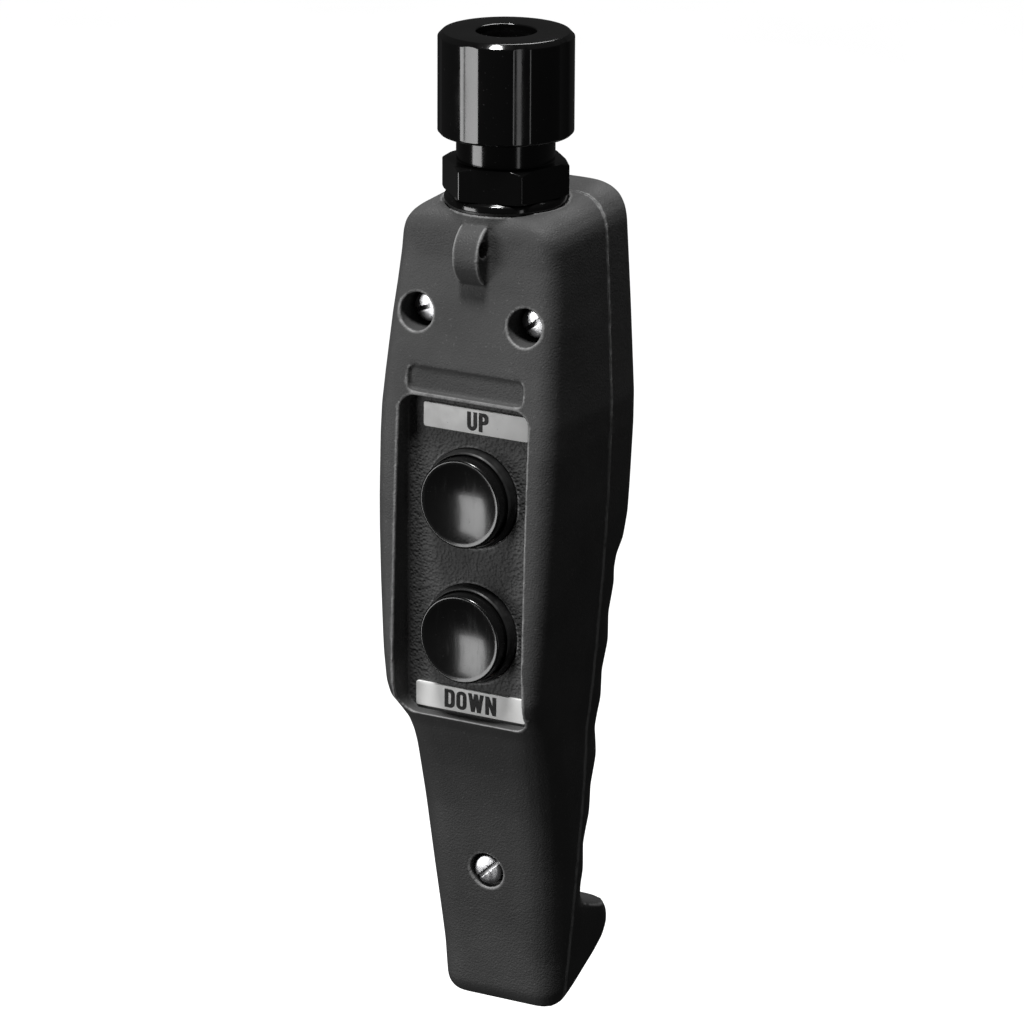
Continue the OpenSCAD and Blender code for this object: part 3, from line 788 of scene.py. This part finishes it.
def cover_screws():
    """The three screws that hold the covers together, each slot at an angle of its own."""
    low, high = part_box("upper_cover_screws")
    z = (low.z + high.z) / 2
    seat = low.y + SCREW_HEAD_H
    for name, x, turn in (("left", low.x + SCREW_HEAD_R, -20), ("right", high.x - SCREW_HEAD_R, -35)):
        centre = Vector((x, seat, z))
        screw = slotted_screw(name + "_cover_screw", centre, high.y - seat, math.radians(turn))
        dress(screw, STEEL, "housing", "steel", "upper_cover_screws")
    low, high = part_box("lower_cover_screw")
    centre = Vector(((low.x + high.x) / 2, low.y + SCREW_HEAD_H, (low.z + high.z) / 2))
    screw = slotted_screw("foot_cover_screw", centre, high.y - centre.y, math.radians(-42))
    dress(screw, STEEL, "housing", "steel", "lower_cover_screw")


# ---------------------------------------------------------------------- labels

def arc(cx, cy, radius, start, end, steps=8):
    """Points on an arc, angles in degrees."""
    points = []
    for k in range(steps + 1):
        angle = math.radians(start + (end - start) * k / steps)
        points.append((cx + radius * math.cos(angle), cy + radius * math.sin(angle)))
    return points


def bowl(x0, y0, x1, y1, radius):
    """Outline with two round corners on its right side."""
    r = min(radius, (y1 - y0) / 2)
    corners = arc(x1 - r, y0 + r, r, -90, 0) + arc(x1 - r, y1 - r, r, 0, 90)
    return [(x0, y0)] + corners + [(x0, y1)]


def pill(x0, y0, x1, y1, radius):
    """Outline with four round corners."""
    r = min(radius, (x1 - x0) / 2)
    return (arc(x0 + r, y0 + r, r, 180, 270) + arc(x1 - r, y0 + r, r, 270, 360)
            + arc(x1 - r, y1 - r, r, 0, 90) + arc(x0 + r, y1 - r, r, 90, 180))


def letter(shape, h, t):
    """Width and outlines of one plain block letter of height h and stroke t."""
    w = {"U": 0.58, "P": 0.56, "D": 0.6, "O": 0.6, "W": 0.92, "N": 0.64}[shape] * h
    if shape == "U":
        r, inner = w / 2, w / 2 - t
        outer = [(0, h)] + arc(r, r, r, 180, 360) + [(w, h), (w - t, h)]
        return w, [outer + arc(r, r, inner, 360, 180) + [(t, h)]]
    if shape == "P":
        foot = 0.4 * h
        outer = [(0, 0), (t, 0), (t, foot)] + bowl(t, foot, w, h, 0.4 * w)[1:-1] + [(0, h)]
        return w, [outer, bowl(t, foot + 0.85 * t, w - t, h - 0.85 * t, 0.2 * w)]
    if shape == "D":
        return w, [bowl(0, 0, w, h, 0.42 * w), bowl(t, 0.85 * t, w - t, h - 0.85 * t, 0.2 * w)]
    if shape == "O":
        return w, [pill(0, 0, w, h, 0.45 * w), pill(t, 0.85 * t, w - t, h - 0.85 * t, 0.22 * w)]
    if shape == "N":
        right_notch = h * t / (w - t)
        return w, [[(0, 0), (0, h), (t, h), (w - t, right_notch), (w - t, h), (w, h), (w, 0),
                    (w - t, 0), (t, h - right_notch), (t, 0)]]
    span = (w - t) / 4
    centre = [t / 2 + span * k for k in range(5)]
    notch = h * t / (2 * span)
    return w, [[
        (centre[0] - t / 2, h), (centre[1] - t / 2, 0), (centre[1] + t / 2, 0), (centre[2], h - notch),
        (centre[3] - t / 2, 0), (centre[3] + t / 2, 0), (centre[4] + t / 2, h), (centre[4] - t / 2, h),
        (centre[3], notch), (centre[2] + t / 2, h), (centre[2] - t / 2, h), (centre[1], notch),
        (centre[0] + t / 2, h),
    ]]


def lettering(name, word, middle, height, front_y):
    """Raised block letters of a plain direction word, centred on middle (x, z)."""
    stroke = 0.21 * height
    space = 0.11 * height
    raised = 0.12 * MM
    glyphs = [letter(c, height, stroke) for c in word]
    width = sum(g[0] for g in glyphs) + space * (len(word) - 1)
    curve = bpy.data.curves.new(name, "CURVE")
    curve.dimensions = "2D"
    curve.fill_mode = "BOTH"
    curve.extrude = raised / 2
    x = -width / 2
    for glyph_width, loops in glyphs:
        for loop in loops:
            spline = curve.splines.new("POLY")
            spline.points.add(len(loop) - 1)
            for point, (u, v) in zip(spline.points, loop):
                point.co = (x + u, v - height / 2, 0, 1)
            spline.use_cyclic_u = True
        x += glyph_width + space
    source = add_object(name + "_outline", curve)
    mesh = evaluated_mesh(source, name)
    bpy.data.objects.remove(source)
    for vertex in mesh.vertices:
        u, v, w = vertex.co
        vertex.co = (middle[0] + u, front_y - raised / 2 - w, middle[1] + v)
    tidy = bmesh.new()
    tidy.from_mesh(mesh)
    bmesh.ops.remove_doubles(tidy, verts=tidy.verts, dist=0.002 * MM)
    bmesh.ops.recalc_face_normals(tidy, faces=tidy.faces)
    tidy.to_mesh(mesh)
    tidy.free()
    made = add_object(name, mesh)
    return dress(made, INK, "housing", "label")


def label(side, word, shift):
    """Laminate plate with its word, the word this far right of the plate's middle."""
    node = side + "_label"
    low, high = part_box(node)
    corner = 0.8 * MM
    outline = rounded([
        (low.x, low.z, corner), (high.x, low.z, corner), (high.x, high.z, corner), (low.x, high.z, corner),
    ])
    made = plate(side + "_label_plate", outline, low.y, high.y, 0.2 * MM)
    dress(made, LABEL, "housing", "label", node)
    middle = ((low.x + high.x) / 2 + shift, (low.z + high.z) / 2)
    lettering(side + "_label_letters", word, middle, 5.6 * MM, low.y)


# ------------------------------------------------------------- nodes that stay

KEPT = {
    "cover_gasket": (RUBBER, "rubber"),
    "threaded_inserts": (BRASS, "brass"),
    "gland_sealing_ring": (RUBBER, "rubber"),
    "gland_grommet": (RUBBER, "rubber"),
    "gland_slip_washer": (STEEL, "steel"),
    "gland_locknut": (STEEL, "steel"),
    "mounting_plate": (STEEL, "steel"),
    "plate_screws": (STEEL, "steel"),
    "earth_clamp": (BRASS, "brass"),
    "earth_screw": (STEEL, "steel"),
}
PAIRED = {
    "button_guide": (PHENOLIC, "phenolic"),
    "guide_nut": (STEEL, "steel"),
    "plunger": (PHENOLIC, "phenolic"),
    "contact_block": (PHENOLIC, "phenolic"),
    "contact_bridge": (COPPER, "copper"),
    "fixed_contacts": (COPPER, "copper"),
    "terminal_screws": (STEEL, "steel"),
    "block_screws": (STEEL, "steel"),
}


def dress_kept_nodes():
    """Gives the CAD nodes whose shape stays their material."""
    looks = dict(KEPT)
    for kind, look in PAIRED.items():
        for side in SIDES:
            looks[side + "_" + kind] = look
    for node, (material, slot) in looks.items():
        NODES[node].data.materials.clear()
        NODES[node].data.materials.append(material)


# ----------------------------------------------------------------------- stage

def away(turn, lift):
    """Direction from the part at these angles in radians: turned from its front to its right."""
    return Vector((math.sin(turn) * math.cos(lift), -math.cos(turn) * math.cos(lift), math.sin(lift)))


def add_light(data, place, target):
    """Puts a light at a place and aims it. The camera doesn't see it."""
    light = bpy.data.objects.new(data.name, data)
    bpy.context.scene.collection.objects.link(light)
    light.location = place
    light.rotation_mode = "QUATERNION"
    light.rotation_quaternion = (target - place).to_track_quat("-Z", "Y")
    light.visible_camera = False


def softbox(name, azimuth, elevation, distance, wide, tall, power):
    """Rectangular light around the part. Azimuth in degrees, from the front to the right."""
    data = bpy.data.lights.new(name, "AREA")
    data.shape = "RECTANGLE"
    data.size, data.size_y = wide, tall
    data.energy = power
    centre = (CAD_LOW + CAD_HIGH) / 2
    add_light(data, centre + away(math.radians(azimuth), math.radians(elevation)) * distance, centre)


def soft_sun(azimuth, elevation, strength, spread):
    """Even key light, soft by its spread in degrees."""
    data = bpy.data.lights.new("key", "SUN")
    data.energy = strength
    data.angle = math.radians(spread)
    add_light(data, away(math.radians(azimuth), math.radians(elevation)), Vector((0, 0, 0)))


def studio_floor():
    """Pale floor. It throws no light back up, so the part's shaded side stays dark."""
    drop = 0.16
    mesh = bmesh.new()
    bmesh.ops.create_grid(mesh, x_segments=8, y_segments=8, size=14.0)
    floor = object_from(mesh, "studio_floor")
    floor.location.z = CAD_LOW.z - drop
    floor.data.materials.append(floor_look())
    floor.visible_diffuse = False
    floor.visible_glossy = False


def studio_light():
    """An even key from high in front, softboxes that the gloss reflects, and a faint fill."""
    soft_sun(azimuth=-8, elevation=72, strength=3.7, spread=12)
    softbox("front_left", azimuth=-39, elevation=-8, distance=0.9, wide=0.4, tall=0.45, power=3.6)
    softbox("right_strip", azimuth=59, elevation=-6, distance=1.0, wide=0.1, tall=0.5, power=0.25)
    softbox("top_back", azimuth=-172, elevation=62, distance=0.9, wide=0.4, tall=0.4, power=5.5)
    world = bpy.data.worlds.new("studio")
    world.use_nodes = True
    fill = world.node_tree.nodes["Background"]
    fill.inputs["Color"].default_value = (1, 1, 1, 1)
    fill.inputs["Strength"].default_value = 0.03
    bpy.context.scene.world = world
    bpy.context.scene.view_settings.view_transform = "Standard"


def camera():
    """Long lens at the reference view's angle."""
    right = Vector((math.cos(AZIMUTH), math.sin(AZIMUTH), 0))
    back = away(AZIMUTH, ELEVATION)
    up = back.cross(right)
    target = Vector((0, 0, (CAD_LOW.z + CAD_HIGH.z) / 2 + AIM_ABOVE_CENTRE))
    place = target + back * CAMERA_DISTANCE
    aim = target + right * AIM_RIGHT - up * AIM_DOWN
    data = bpy.data.cameras.new("camera")
    data.lens = CAMERA_LENS
    data.sensor_width = CAMERA_SENSOR
    data.clip_start, data.clip_end = CAMERA_CLIP
    made = bpy.data.objects.new("camera", data)
    bpy.context.scene.collection.objects.link(made)
    made.location = place
    made.rotation_mode = "QUATERNION"
    look = (aim - place).to_track_quat("-Z", "Y")
    made.rotation_quaternion = look @ Quaternion((0, 0, 1), ROLL)
    bpy.context.scene.camera = made


camera()
studio_floor()
studio_light()
cover("front_cover")
cover("rear_cover")
gland_nut()
gland_body()
for side_name, direction, word_shift in (("up", "UP", 0.7 * MM), ("down", "DOWN", 0.0)):
    button_cap(side_name)
    button_boot(side_name)
    return_spring(side_name)
    label(side_name, direction, word_shift)
cover_screws()
dress_kept_nodes()
